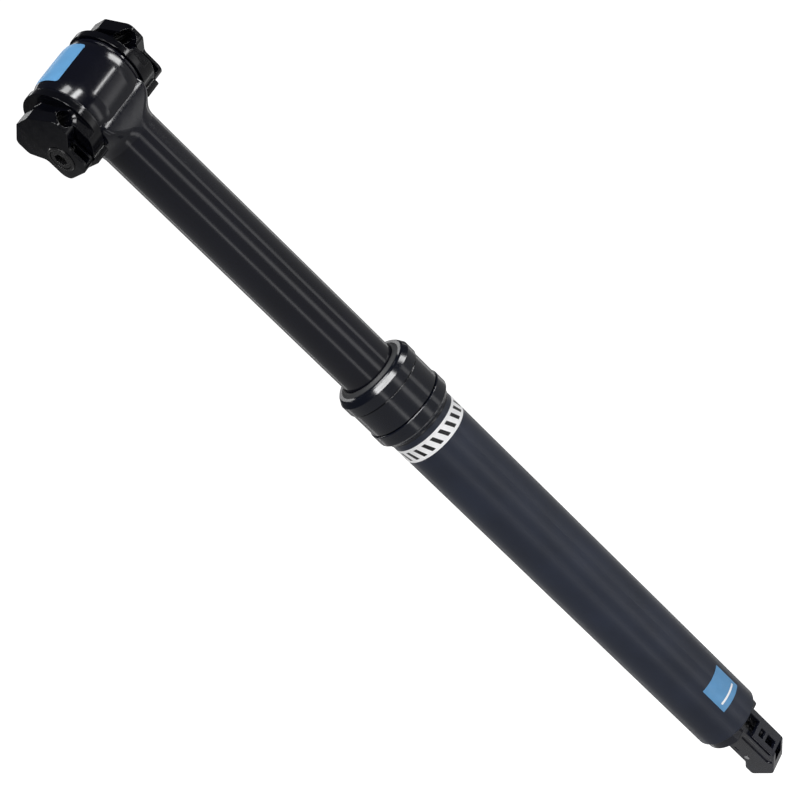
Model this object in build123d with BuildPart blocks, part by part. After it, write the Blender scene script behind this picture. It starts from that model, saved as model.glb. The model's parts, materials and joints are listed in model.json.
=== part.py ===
"""Dropper seatpost, fully extended, in millimetres.

The post's axis is Z, +Z towards the saddle. The origin lies on that axis at the underside of the
collar, where the frame's seat tube stops. The saddle clamp's bolt runs along Y, its head towards -Y.
The saddle rails run along X, and the open front of the release housing faces +X.
"""

from build123d import *
import math
import os

os.makedirs("parts", exist_ok=True)

# Fits that several pieces share
running_gap = 0.05
seat_gap = 0.03
soft_gap = 0.3
edge_break = 0.4
cut_overrun = 1.0

# Driving sizes of the two tubes
stanchion_diameter = 25.4
stanchion_wall = 1.5
bushing_wall = 1.1
tube_wall = 2.0
travel = 120.0
stanchion_overlap = 60.0
plug_height = 9.0
drop_clearance = 17.5

stanchion_r = stanchion_diameter / 2
stanchion_bore_r = stanchion_r - stanchion_wall
tube_bore_r = stanchion_r + bushing_wall
tube_r = tube_bore_r + tube_wall
insert_length = stanchion_overlap + travel + plug_height + drop_clearance
tube_bottom_z = -insert_length
stanchion_bottom_z = -stanchion_overlap

# Keys and the keyways they slide in
key_count = 3
key_width = 4.0
key_height = 12.0
key_rise = 18.0
key_pocket_depth = 0.8
keyway_depth = 0.9
keyway_room = 2.0
key_z = stanchion_bottom_z + key_rise
keyway_top_z = key_z + key_height + keyway_room


def section(points):
    """A closed outline in the XZ plane, from (radius or x, height) points."""
    with BuildSketch(Plane.XZ) as outline:
        with BuildLine():
            Polyline(*points, close=True)
        make_face()
    return outline.sketch


def corner(outline, x, height):
    """The corner of an XZ outline nearest to one place."""
    return outline.vertices().sort_by_distance((x, height, 0))[0]


def ring_section(inner_r, outer_r, low_z, high_z):
    """The outline of a plain ring."""
    return section([(inner_r, low_z), (outer_r, low_z), (outer_r, high_z), (inner_r, high_z)])


def save(part, name):
    """Label a finished piece and write it to its own file."""
    part.label = name
    export_step(part, f"parts/{name}.step")


# Outer tube, the part that goes into the frame, with keyways broached from its lower end
neck_length = 14.0
neck_depth = 0.2

with BuildPart() as outer_tube:
    revolve(section([
        (tube_bore_r, tube_bottom_z),
        (tube_r - edge_break, tube_bottom_z),
        (tube_r, tube_bottom_z + edge_break),
        (tube_r, 0),
        (tube_r - neck_depth, 0),
        (tube_r - neck_depth, neck_length),
        (tube_bore_r, neck_length),
    ]), axis=Axis.Z)
    with BuildSketch(Plane.XY.offset(tube_bottom_z)):
        with PolarLocations(tube_bore_r, key_count):
            Rectangle(2 * keyway_depth, key_width)
    extrude(amount=keyway_top_z - tube_bottom_z, mode=Mode.SUBTRACT)
save(outer_tube.part, "outer_tube")

# Collar base ring, a cone that flares up from the tube to a plain band
base_flange = 2.65
base_ring_height = 9.0
base_lip = 0.35
base_lip_height = 0.9
base_flare_height = 3.4
base_bend_r = 0.8
collar_edge = 0.3
base_ring_r = tube_r + base_flange
collar_bore_r = tube_r - neck_depth + seat_gap

with BuildPart() as collar_base_ring:
    with BuildSketch(Plane.XZ) as base_outline:
        with BuildLine():
            Polyline(
                (collar_bore_r, 0),
                (tube_r + base_lip, 0),
                (tube_r + base_lip, base_lip_height),
                (base_ring_r, base_flare_height),
                (base_ring_r, base_ring_height - collar_edge),
                (base_ring_r - collar_edge, base_ring_height),
                (collar_bore_r, base_ring_height),
                close=True,
            )
        make_face()
        low_bend = corner(base_outline, tube_r + base_lip, base_lip_height)
        fillet([low_bend, corner(base_outline, base_ring_r, base_flare_height)], base_bend_r)
    revolve(axis=Axis.Z)
save(collar_base_ring.part, "collar_base_ring")

# Collar sleeve, screwed on the tube's neck, with room above the tube for bushing flange, foam and seal
sleeve_flange = 2.15
sleeve_joint = 0.2
sleeve_height = 12.6
sleeve_bore_step = 0.3
sleeve_r = tube_r + sleeve_flange
sleeve_bore_r = tube_r - sleeve_bore_step
sleeve_bottom_z = base_ring_height + sleeve_joint
sleeve_top_z = sleeve_bottom_z + sleeve_height

with BuildPart() as collar_sleeve:
    revolve(section([
        (collar_bore_r, sleeve_bottom_z),
        (sleeve_r - collar_edge, sleeve_bottom_z),
        (sleeve_r, sleeve_bottom_z + collar_edge),
        (sleeve_r, sleeve_top_z - collar_edge),
        (sleeve_r - collar_edge, sleeve_top_z),
        (sleeve_bore_r, sleeve_top_z),
        (sleeve_bore_r, neck_length + seat_gap),
        (collar_bore_r, neck_length),
    ]), axis=Axis.Z)
save(collar_sleeve.part, "collar_sleeve")

# Upper bushing, pressed into the tube's mouth with its flange on the tube's end
bushing_length = 34.0
bushing_flange_height = 1.2
bore_lip = 0.4
bushing_flange_r = sleeve_bore_r - bore_lip
bushing_bore_r = stanchion_r + running_gap
bushing_r = tube_bore_r - seat_gap
bushing_bottom_z = neck_length - bushing_length
flange_top_z = neck_length + bushing_flange_height

with BuildPart() as upper_bushing:
    revolve(section([
        (bushing_bore_r, bushing_bottom_z),
        (bushing_r, bushing_bottom_z),
        (bushing_r, neck_length),
        (bushing_flange_r, neck_length),
        (bushing_flange_r, flange_top_z),
        (bushing_bore_r, flange_top_z),
    ]), axis=Axis.Z)
save(upper_bushing.part, "upper_bushing")

# Foam ring that holds the grease above the bushing
foam_height = 4.0
foam_r = sleeve_bore_r - soft_gap
foam_top_z = flange_top_z + foam_height

with BuildPart() as foam_ring:
    revolve(ring_section(stanchion_r + soft_gap, foam_r, flange_top_z, foam_top_z), axis=Axis.Z)
save(foam_ring.part, "foam_ring")

# Seal retainer, the collar's top ring, with a wide chamfer and a lip over the seal
retainer_flange = 2.7
retainer_joint = 0.15
retainer_band_height = 4.95
retainer_chamfer_height = 2.1
retainer_chamfer_width = 1.2
retainer_crown_height = 0.6
retainer_lip_height = 4.0
retainer_r = tube_r + retainer_flange
retainer_lip_r = sleeve_bore_r - bore_lip
retainer_shoulder_r = retainer_r - retainer_chamfer_width
retainer_top_r = retainer_shoulder_r - retainer_crown_height
retainer_bottom_z = sleeve_top_z + retainer_joint
retainer_chamfer_z = retainer_bottom_z + retainer_band_height
retainer_shoulder_z = retainer_chamfer_z + retainer_chamfer_height
retainer_top_z = retainer_shoulder_z + retainer_crown_height
retainer_lip_z = retainer_top_z - retainer_lip_height

with BuildPart() as seal_retainer:
    revolve(section([
        (sleeve_bore_r, retainer_bottom_z),
        (retainer_r - collar_edge, retainer_bottom_z),
        (retainer_r, retainer_bottom_z + collar_edge),
        (retainer_r, retainer_chamfer_z),
        (retainer_shoulder_r, retainer_shoulder_z),
        (retainer_top_r, retainer_top_z),
        (retainer_lip_r, retainer_top_z),
        (retainer_lip_r, retainer_lip_z),
        (sleeve_bore_r, retainer_lip_z),
    ]), axis=Axis.Z)
save(seal_retainer.part, "seal_retainer")

# Wiper seal, whose lip stands out of the retainer round the stanchion
seal_lip_height = 1.1
seal_waist = 1.3
seal_lip_top_z = retainer_top_z + seal_lip_height
seal_lip_r = retainer_lip_r - seat_gap
seal_body_r = sleeve_bore_r - seat_gap
seal_waist_r = stanchion_r + seal_waist
seal_bore_r = stanchion_r + 2 * running_gap

with BuildPart() as wiper_seal:
    revolve(section([
        (seal_bore_r, foam_top_z),
        (seal_body_r, foam_top_z),
        (seal_body_r, retainer_lip_z - seat_gap),
        (seal_lip_r, retainer_lip_z - seat_gap),
        (seal_lip_r, retainer_top_z),
        (seal_waist_r, seal_lip_top_z),
        (seal_bore_r + edge_break, seal_lip_top_z),
        (seal_bore_r, seal_lip_top_z - edge_break),
    ]), axis=Axis.Z)
save(wiper_seal.part, "wiper_seal")

# Stanchion, one forging with the barrel that carries the saddle clamp. The barrel is crowned, with
# a fine groove near each end. Its neck swells from the round tube to a square block, whose corners
# sharpen as it rises
stroke_spare = 16.8
neck_drop = 22.8
barrel_r = 17.2
barrel_half = 14.5
barrel_bore_r = 13.0
barrel_crown_half = 7.0
barrel_end_r = 15.9
barrel_groove_depth = 0.25
barrel_groove_width = 0.35
barrel_rim_width = 1.1
neck_head_half_x = 14.1
neck_head_half_y = 14.35
neck_rise_shares = (0, 0.16, 0.32, 0.46, 0.63)
neck_x_shares = (0, 0.18, 0.7, 1, 0.7)
neck_y_shares = (0, 0.14, 0.6, 0.95, 1)
neck_corner_shares = (0.995, 0.8, 0.4, 0.2, 0.16)
neck_foot_z = seal_lip_top_z + travel + stroke_spare
barrel_z = neck_foot_z + neck_drop
barrel_axis = Axis((0, 0, barrel_z), (0, 1, 0))
groove_y = barrel_half - barrel_rim_width
barrel_rim = [
    (0, -barrel_half),
    (barrel_end_r - collar_edge, -barrel_half),
    (barrel_end_r, collar_edge - barrel_half),
    (barrel_end_r, -groove_y),
    (barrel_end_r - barrel_groove_depth, barrel_groove_width / 2 - groove_y),
    (barrel_end_r, barrel_groove_width - groove_y),
]

# Bores, floor and nut seat inside the stanchion
floor_drop = 32.3
floor_height = 13.0
stud_r = 4.0
nut_pocket_r = 6.7
bushing_groove_depth = 0.6
lower_bushing_height = 12.0
lower_bushing_rise = 2.0
head_floor_z = barrel_z - floor_drop
nut_seat_z = head_floor_z + floor_height
groove_r = stanchion_r - bushing_groove_depth
lower_bushing_z = stanchion_bottom_z + lower_bushing_rise

with BuildPart() as stanchion:
    with BuildSketch(Plane.XY.offset(stanchion_bottom_z)):
        Circle(stanchion_r)
    extrude(amount=neck_foot_z - stanchion_bottom_z)
    for rise, x_share, y_share, corner_share in zip(
        neck_rise_shares, neck_x_shares, neck_y_shares, neck_corner_shares
    ):
        with BuildSketch(Plane.XY.offset(neck_foot_z + rise * neck_drop)):
            RectangleRounded(
                2 * (stanchion_r + x_share * (neck_head_half_x - stanchion_r)),
                2 * (stanchion_r + y_share * (neck_head_half_y - stanchion_r)),
                corner_share * stanchion_r,
            )
    loft()
    with BuildSketch(Plane.XY.offset(barrel_z)):
        with BuildLine():
            Polyline(*barrel_rim)
            crown_start = (barrel_r, -barrel_crown_half)
            TangentArc(crown_start, barrel_rim[-1], tangent=(0, -1))
            Line(crown_start, (barrel_r, 0))
            mirror(about=Plane.XZ)
            Line((0, -barrel_half), (0, barrel_half))
        make_face()
    revolve(axis=barrel_axis)
    # Bore of the barrel, through from end to end
    with BuildSketch(Plane.XZ):
        with Locations((0, barrel_z)):
            Circle(barrel_bore_r)
    extrude(amount=barrel_half + cut_overrun, both=True, mode=Mode.SUBTRACT)
    # Bore of the stanchion, up to the floor under the barrel
    with BuildSketch(Plane.XY.offset(stanchion_bottom_z)):
        Circle(stanchion_bore_r)
    extrude(amount=head_floor_z - stanchion_bottom_z, mode=Mode.SUBTRACT)
    # Hole for the cartridge's stud and the seat of its nut
    with BuildSketch(Plane.XY.offset(head_floor_z)):
        Circle(stud_r + running_gap)
    extrude(amount=barrel_z - head_floor_z, mode=Mode.SUBTRACT)
    with BuildSketch(Plane.XY.offset(nut_seat_z)):
        Circle(nut_pocket_r)
    extrude(amount=barrel_z - nut_seat_z, mode=Mode.SUBTRACT)
    # Groove for the lower bushing and pockets for the keys
    with BuildSketch(Plane.XY.offset(lower_bushing_z)):
        Circle(stanchion_r + cut_overrun)
        Circle(groove_r, mode=Mode.SUBTRACT)
    extrude(amount=lower_bushing_height, mode=Mode.SUBTRACT)
    with BuildSketch(Plane.XY.offset(key_z)):
        with PolarLocations(stanchion_r, key_count):
            Rectangle(2 * key_pocket_depth, key_width)
    extrude(amount=key_height, mode=Mode.SUBTRACT)
save(stanchion.part, "stanchion")

# Guide keys, which stop the stanchion from turning
key_r = tube_bore_r + keyway_depth - running_gap
key_seat_r = stanchion_r - key_pocket_depth + seat_gap

with BuildPart() as guide_keys:
    with BuildSketch(Plane.XY.offset(key_z + seat_gap)):
        with PolarLocations((key_seat_r + key_r) / 2, key_count):
            Rectangle(key_r - key_seat_r, key_width - 2 * running_gap)
    extrude(amount=key_height - 2 * seat_gap)
save(guide_keys.part, "guide_keys")

# Lower bushing, two half rings clipped into the stanchion's groove
bushing_split = 1.0

with BuildPart() as lower_bushing:
    revolve(ring_section(
        groove_r + seat_gap, tube_bore_r - running_gap,
        lower_bushing_z + seat_gap, lower_bushing_z + lower_bushing_height - seat_gap,
    ), axis=Axis.Z)
    with BuildSketch(Plane.XY.offset(lower_bushing_z)):
        Rectangle(2 * tube_r, bushing_split)
    extrude(amount=lower_bushing_height, mode=Mode.SUBTRACT)
save(lower_bushing.part, "lower_bushing")

# Top-out bumper, a rubber ring that meets the upper bushing when the post is fully out
topout_height = 3.0
topout_top_z = bushing_bottom_z - soft_gap

with BuildPart() as topout_bumper:
    revolve(ring_section(
        stanchion_r + seat_gap, tube_bore_r - soft_gap, topout_top_z - topout_height, topout_top_z,
    ), axis=Axis.Z)
save(topout_bumper.part, "topout_bumper")

# Cartridge cylinder, open at its lower end, hung in the stanchion
cartridge_clearance = 1.5
cartridge_wall = 1.2
cartridge_rise = 3.0
cartridge_headroom = 36.0
cartridge_r = stanchion_bore_r - cartridge_clearance
cartridge_bore_r = cartridge_r - cartridge_wall
cartridge_bottom_z = stanchion_bottom_z + cartridge_rise
cartridge_top_z = head_floor_z - cartridge_headroom

with BuildPart() as cartridge_cylinder:
    revolve(ring_section(cartridge_bore_r, cartridge_r, cartridge_bottom_z, cartridge_top_z), axis=Axis.Z)
save(cartridge_cylinder.part, "cartridge_cylinder")

# Cartridge cap, with a long spacer up to the stanchion's floor and a stud through it
cap_plug_height = 12.0
cap_lip_height = 2.0
spacer_r = 7.0
stud_nut_height = 4.5
stud_nut_flats = 11.0
cap_head_z = cartridge_top_z + cap_lip_height
spacer_top_z = head_floor_z - seat_gap
stud_top_z = nut_seat_z + stud_nut_height

with BuildPart() as cartridge_cap:
    revolve(section([
        (0, cartridge_top_z - cap_plug_height),
        (cartridge_bore_r - seat_gap, cartridge_top_z - cap_plug_height),
        (cartridge_bore_r - seat_gap, cartridge_top_z),
        (cartridge_r, cartridge_top_z),
        (cartridge_r, cap_head_z),
        (spacer_r, cap_head_z),
        (spacer_r, spacer_top_z),
        (stud_r, spacer_top_z),
        (stud_r, stud_top_z),
        (0, stud_top_z),
    ]), axis=Axis.Z)
save(cartridge_cap.part, "cartridge_cap")

# Nut on the stud, inside the barrel
with BuildPart() as cartridge_nut:
    with BuildSketch(Plane.XY.offset(nut_seat_z)):
        RegularPolygon(stud_nut_flats / 2, 6, major_radius=False)
        Circle(stud_r + seat_gap, mode=Mode.SUBTRACT)
    extrude(amount=stud_nut_height - edge_break)
save(cartridge_nut.part, "cartridge_nut")

# Gland at the cylinder's mouth, with a seal in its bore and a circlip below it
rod_clearance = 3.5
circlip_height = 1.2
circlip_gap_share = 0.12
gland_height = 9.0
gland_groove_depth = 0.9
gland_groove_height = 1.8
rod_r = cartridge_bore_r - rod_clearance
gland_bottom_z = cartridge_bottom_z + circlip_height + 2 * seat_gap
gland_top_z = gland_bottom_z + gland_height
gland_seal_z = gland_bottom_z + gland_height / 3

with BuildPart() as cartridge_gland:
    revolve(section([
        (rod_r + running_gap, gland_bottom_z),
        (cartridge_bore_r - seat_gap, gland_bottom_z),
        (cartridge_bore_r - seat_gap, gland_top_z),
        (rod_r + running_gap, gland_top_z),
        (rod_r + running_gap, gland_seal_z + gland_groove_height),
        (rod_r + gland_groove_depth, gland_seal_z + gland_groove_height),
        (rod_r + gland_groove_depth, gland_seal_z),
        (rod_r + running_gap, gland_seal_z),
    ]), axis=Axis.Z)
save(cartridge_gland.part, "cartridge_gland")

with BuildPart() as gland_seal:
    revolve(ring_section(
        rod_r + 2 * running_gap, rod_r + gland_groove_depth - seat_gap,
        gland_seal_z + seat_gap, gland_seal_z + gland_groove_height - seat_gap,
    ), axis=Axis.Z)
save(gland_seal.part, "gland_seal")

# Circlip, an open ring just inside the cylinder's mouth
with BuildPart() as gland_circlip:
    revolve(ring_section(
        cartridge_bore_r - 2 * circlip_height, cartridge_bore_r - seat_gap,
        cartridge_bottom_z + seat_gap, cartridge_bottom_z + circlip_height,
    ), axis=Axis.Z)
    with BuildSketch(Plane.XY.offset(cartridge_bottom_z)):
        with Locations((0, cartridge_bore_r)):
            Rectangle(2 * cartridge_bore_r * circlip_gap_share, cartridge_bore_r)
    extrude(amount=circlip_height + cut_overrun, mode=Mode.SUBTRACT)
save(gland_circlip.part, "gland_circlip")

# Bumper on the gland, under the piston
bumper_height = 0.6
bumper_top_z = gland_top_z + bumper_height

with BuildPart() as cartridge_bumper:
    revolve(ring_section(
        rod_r + soft_gap, cartridge_bore_r - soft_gap, gland_top_z, bumper_top_z,
    ), axis=Axis.Z)
save(cartridge_bumper.part, "cartridge_bumper")

# Plug in the tube's lower end, which holds the rod
with BuildPart() as tube_end_plug:
    revolve(ring_section(
        rod_r + seat_gap, tube_bore_r - seat_gap, tube_bottom_z, tube_bottom_z + plug_height,
    ), axis=Axis.Z)
save(tube_end_plug.part, "tube_end_plug")

# Hollow rod, fixed in the plug
rod_bore_r = 1.6
piston_height = 8.0
piston_seat_depth = 4.0
piston_rest_gap = 0.14
piston_bottom_z = bumper_top_z + piston_rest_gap
piston_top_z = piston_bottom_z + piston_height
rod_top_z = piston_bottom_z + piston_seat_depth

with BuildPart() as cartridge_rod:
    revolve(ring_section(rod_bore_r, rod_r, tube_bottom_z, rod_top_z), axis=Axis.Z)
save(cartridge_rod.part, "cartridge_rod")

# Piston on the rod, with a groove for its seal
seal_wire_r = 0.7
piston_r = cartridge_bore_r - running_gap
piston_groove_z = piston_bottom_z + piston_height / 2

with BuildPart() as piston:
    revolve(section([
        (rod_r + seat_gap, piston_bottom_z),
        (piston_r, piston_bottom_z),
        (piston_r, piston_groove_z - seal_wire_r),
        (piston_r - 2 * seal_wire_r, piston_groove_z - seal_wire_r),
        (piston_r - 2 * seal_wire_r, piston_groove_z + seal_wire_r),
        (piston_r, piston_groove_z + seal_wire_r),
        (piston_r, piston_top_z),
        (0, piston_top_z),
        (0, rod_top_z + seat_gap),
        (rod_r + seat_gap, rod_top_z + seat_gap),
    ]), axis=Axis.Z)
save(piston.part, "piston")

with BuildPart() as piston_seal:
    with BuildSketch(Plane.XZ):
        with Locations((piston_r - seal_wire_r, piston_groove_z)):
            Circle(seal_wire_r - seat_gap)
    revolve(axis=Axis.Z)
save(piston_seal.part, "piston_seal")

# Release housing under the tube: a round collar with a flat front, two cheeks with a channel
# between them, a front plate with two windows below an open mouth, and a hooked foot behind
housing_collar_step = 1.7
housing_collar_height = 4.8
housing_flat_x = 10.0
housing_front_x = 13.4
housing_rear_x = -7.8
housing_hook_x = -11.4
housing_length = 36.4
channel_roof_drop = 5.5
channel_half = 3.2
cheek_outer_y = 5.3
cheek_edge = 0.3
housing_r = tube_r - housing_collar_step
collar_bottom_z = tube_bottom_z - housing_collar_height
channel_roof_z = tube_bottom_z - channel_roof_drop
housing_bottom_z = tube_bottom_z - housing_length

# Foot: the hook, the block with the cable stop, the sill and the apron in front of it
hook_rise = 9.4
hook_wall = 5.1
hook_corner_r = 1.5
slope_rise = 13.0
slope_foot_x = 2.0
slope_corner_r = 3.0
block_rise = 5.9
block_front_x = -3.2
sill_rise = 2.6
apron_rise = 6.4
apron_back_x = 5.6
stop_x = -8.2
stop_r = 2.6
stop_depth = 4.2
cable_hole_r = 0.9
hook_top_z = housing_bottom_z + hook_rise
hook_side_z = housing_bottom_z + hook_wall
slope_top_z = housing_bottom_z + slope_rise
block_top_z = housing_bottom_z + block_rise
sill_z = housing_bottom_z + sill_rise
apron_top_z = housing_bottom_z + apron_rise

# Front plate, its windows, the mouth above it, and the slot and groove in each cheek
mouth_height = 8.2
mouth_far_y = 2.6
mouth_back_x = 4.5
plate_rise = 13.6
plate_thickness = 2.0
side_slot_back_x = 10.9
side_slot_front_x = 12.6
side_slot_depth = 1.6
side_groove_back_x = 5.1
side_groove_front_x = 9.1
side_groove_depth = 0.5
side_groove_rise = 7.6
window_centre_y = -1.1
window_width = 3.9
window_shares = ((0.12, 0.51), (0.63, 0.84))
plate_top_z = tube_bottom_z - mouth_height
plate_bottom_z = housing_bottom_z + plate_rise
plate_height = plate_top_z - plate_bottom_z

# Pivot of the release lever, and a small slot above it in each cheek
pivot_x = -3.9
pivot_rise = 12.5
pin_r = 1.0
pin_head_r = 1.25
pin_head_height = 0.8
pin_head_proud = 0.15
slot_x = -4.5
slot_rise = 6.7
slot_length = 3.0
slot_width = 0.9
pivot_z = housing_bottom_z + pivot_rise
pin_head_y = cheek_outer_y + pin_head_proud

housing_outline = [
    (housing_rear_x, tube_bottom_z),
    (housing_rear_x, hook_top_z),
    (housing_hook_x, hook_side_z),
    (housing_hook_x, housing_bottom_z),
    (slope_foot_x, housing_bottom_z),
    (housing_front_x, slope_top_z),
    (housing_front_x, tube_bottom_z),
]

with BuildPart() as release_housing:
    with BuildSketch(Plane.XZ) as housing_side:
        with BuildLine():
            Polyline(*housing_outline, close=True)
        make_face()
        fillet([
            corner(housing_side, housing_rear_x, hook_top_z),
            corner(housing_side, housing_hook_x, hook_side_z),
            corner(housing_side, housing_hook_x, housing_bottom_z),
        ], hook_corner_r)
        fillet([
            corner(housing_side, slope_foot_x, housing_bottom_z),
            corner(housing_side, housing_front_x, slope_top_z),
        ], slope_corner_r)
    extrude(amount=cheek_outer_y, both=True)
    chamfer(release_housing.faces().filter_by(Axis.Y).edges(), cheek_edge)
    with BuildSketch(Plane.XY.offset(tube_bottom_z)):
        Circle(housing_r)
        with Locations((housing_flat_x + housing_r, 0)):
            Rectangle(2 * housing_r, 2 * housing_r, mode=Mode.SUBTRACT)
    extrude(amount=collar_bottom_z - tube_bottom_z)
    # Channel between the cheeks, open to the rear above the hook and to the front under the plate
    with BuildSketch(Plane.XZ):
        with BuildLine():
            Polyline(
                (housing_hook_x - cut_overrun, channel_roof_z),
                (housing_front_x - plate_thickness, channel_roof_z),
                (housing_front_x - plate_thickness, plate_bottom_z),
                (housing_front_x + cut_overrun, plate_bottom_z),
                (housing_front_x + cut_overrun, apron_top_z),
                (apron_back_x, apron_top_z),
                (slope_foot_x, sill_z),
                (block_front_x, block_top_z),
                (housing_hook_x - cut_overrun, block_top_z),
                close=True,
            )
        make_face()
    extrude(amount=channel_half, both=True, mode=Mode.SUBTRACT)
    # Mouth above the front plate, which also cuts the near cheek's front corner away
    with BuildSketch(Plane.XY.offset(plate_top_z)):
        with BuildLine():
            Polyline(
                (mouth_back_x, mouth_far_y),
                (mouth_back_x, -channel_half),
                (side_slot_back_x, -channel_half),
                (side_slot_back_x, -cheek_outer_y - cut_overrun),
                (housing_front_x + cut_overrun, -cheek_outer_y - cut_overrun),
                (housing_front_x + cut_overrun, mouth_far_y),
                close=True,
            )
        make_face()
    extrude(amount=tube_bottom_z - plate_top_z, mode=Mode.SUBTRACT)
    # Windows in the front plate
    for low_share, high_share in window_shares:
        with BuildSketch(Plane.YZ.offset(mouth_back_x)):
            with Locations((window_centre_y, plate_bottom_z + plate_height * (low_share + high_share) / 2)):
                Rectangle(window_width, plate_height * (high_share - low_share))
        extrude(amount=housing_r, mode=Mode.SUBTRACT)
    # On each cheek a deep slot beside the plate and a shallow groove with round ends
    slot_middle_x = (side_slot_back_x + side_slot_front_x) / 2
    groove_middle_x = (side_groove_back_x + side_groove_front_x) / 2
    side_groove_width = side_groove_front_x - side_groove_back_x
    groove_foot_z = housing_bottom_z + side_groove_rise
    for side in (1, -1):
        with BuildSketch(Plane.XZ.offset(side * cheek_outer_y)):
            with Locations((slot_middle_x, (plate_top_z + plate_bottom_z) / 2)):
                Rectangle(side_slot_front_x - side_slot_back_x, plate_height)
        extrude(amount=-side * side_slot_depth, mode=Mode.SUBTRACT)
        with BuildSketch(Plane.XZ.offset(side * cheek_outer_y)):
            with Locations((groove_middle_x, (plate_top_z + groove_foot_z) / 2)):
                SlotOverall(plate_top_z - groove_foot_z, side_groove_width, rotation=90)
        extrude(amount=-side * side_groove_depth, mode=Mode.SUBTRACT)
    # Hole for the release pin through the collar
    with BuildSketch(Plane.XY.offset(channel_roof_z)):
        Circle(rod_bore_r)
    extrude(amount=channel_roof_drop, mode=Mode.SUBTRACT)
    # Pivot hole through both cheeks, with a seat for the pin's head, and a small slot above it
    with BuildSketch(Plane.XZ):
        with Locations((pivot_x, pivot_z)):
            Circle(pin_r + seat_gap)
        with Locations((slot_x, pivot_z + slot_rise)):
            SlotOverall(slot_length, slot_width, rotation=90)
    extrude(amount=cheek_outer_y, both=True, mode=Mode.SUBTRACT)
    with BuildSketch(Plane.XZ.offset(cheek_outer_y)):
        with Locations((pivot_x, pivot_z)):
            Circle(pin_head_r + seat_gap)
    extrude(amount=pin_head_proud - pin_head_height, mode=Mode.SUBTRACT)
    # Stop for the cable housing, open downwards, and the cable's hole above it
    with BuildSketch(Plane.XY.offset(housing_bottom_z)):
        with Locations((stop_x, 0)):
            Circle(stop_r)
    extrude(amount=stop_depth, mode=Mode.SUBTRACT)
    with BuildSketch(Plane.XY.offset(housing_bottom_z)):
        with Locations((stop_x, 0)):
            Circle(cable_hole_r)
    extrude(amount=block_top_z - housing_bottom_z, mode=Mode.SUBTRACT)
save(release_housing.part, "release_housing")

# Pivot pin with a small sunk head on the near cheek, and the clip on its far end
clip_r = 2.2
clip_height = 0.5
clip_groove_r = 0.7
pin_end_y = cheek_outer_y + clip_height + edge_break

with BuildPart() as pivot_pin:
    with BuildSketch(Plane.XZ.offset(-pin_end_y)):
        with Locations((pivot_x, pivot_z)):
            Circle(pin_r)
    extrude(amount=pin_end_y + pin_head_y)
    with BuildSketch(Plane.XZ.offset(pin_head_y)):
        with Locations((pivot_x, pivot_z)):
            Circle(pin_head_r)
    extrude(amount=seat_gap - pin_head_height)
    with BuildSketch(Plane.XZ.offset(-cheek_outer_y - clip_height)):
        with Locations((pivot_x, pivot_z)):
            Circle(pin_r + cut_overrun)
            Circle(clip_groove_r, mode=Mode.SUBTRACT)
    extrude(amount=clip_height, mode=Mode.SUBTRACT)
save(pivot_pin.part, "pivot_pin")

with BuildPart() as pivot_clip:
    with BuildSketch(Plane.XZ.offset(seat_gap - cheek_outer_y - clip_height)):
        with Locations((pivot_x, pivot_z)):
            Circle(clip_r)
            Circle(clip_groove_r + seat_gap, mode=Mode.SUBTRACT)
        with Locations((pivot_x, pivot_z - clip_r)):
            Rectangle(2 * clip_groove_r, 2 * clip_r, mode=Mode.SUBTRACT)
    extrude(amount=clip_height - 2 * seat_gap)
save(pivot_clip.part, "pivot_clip")

# Release lever: a hub on the pivot, a cradle for the cable's barrel behind it, a nose in front
hub_r = 2.4
cradle_r = 3.1
nose_r = 1.5
nose_rise = 0.9
anchor_r = 2.2
anchor_half = 2.6
cradle_mouth_half = 1.7
cable_slot_half = 0.9
lever_half = channel_half - soft_gap

with BuildPart() as release_lever:
    with BuildSketch(Plane.XZ):
        with Locations((pivot_x, pivot_z)):
            Circle(hub_r)
        with Locations((stop_x, pivot_z)):
            Circle(cradle_r)
        make_hull()
    extrude(amount=lever_half, both=True)
    with BuildSketch(Plane.XZ):
        with Locations((pivot_x, pivot_z)):
            Circle(hub_r)
        with Locations((0, pivot_z + nose_rise)):
            Circle(nose_r)
        make_hull()
    extrude(amount=lever_half, both=True)
    with BuildSketch(Plane.XZ):
        with Locations((pivot_x, pivot_z)):
            Circle(pin_r + running_gap)
        with Locations((stop_x, pivot_z)):
            Circle(anchor_r + running_gap)
        with Locations((stop_x, pivot_z + cradle_r / 2)):
            Rectangle(2 * cradle_mouth_half, cradle_r + edge_break)
    extrude(amount=lever_half, both=True, mode=Mode.SUBTRACT)
    with BuildSketch(Plane.XY.offset(pivot_z - cradle_r - cut_overrun)):
        with Locations((stop_x, 0)):
            Rectangle(2 * cable_slot_half, 2 * cable_slot_half)
    extrude(amount=cradle_r, mode=Mode.SUBTRACT)
save(release_lever.part, "release_lever")

# Cable barrel in the cradle, with the cable's hole and the screw that grips it
screw_r = 1.0
screw_length = 1.6
screw_bottom_z = pivot_z + edge_break

with BuildPart() as cable_barrel:
    with BuildSketch(Plane.XZ):
        with Locations((stop_x, pivot_z)):
            Circle(anchor_r)
    extrude(amount=anchor_half, both=True)
    with BuildSketch(Plane.XY.offset(pivot_z - anchor_r - cut_overrun)):
        with Locations((stop_x, 0)):
            Circle(cable_hole_r)
    extrude(amount=anchor_r + cut_overrun, mode=Mode.SUBTRACT)
    with BuildSketch(Plane.XY.offset(pivot_z)):
        with Locations((stop_x, 0)):
            Circle(screw_r + seat_gap)
    extrude(amount=anchor_r + cut_overrun, mode=Mode.SUBTRACT)
save(cable_barrel.part, "cable_barrel")

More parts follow.
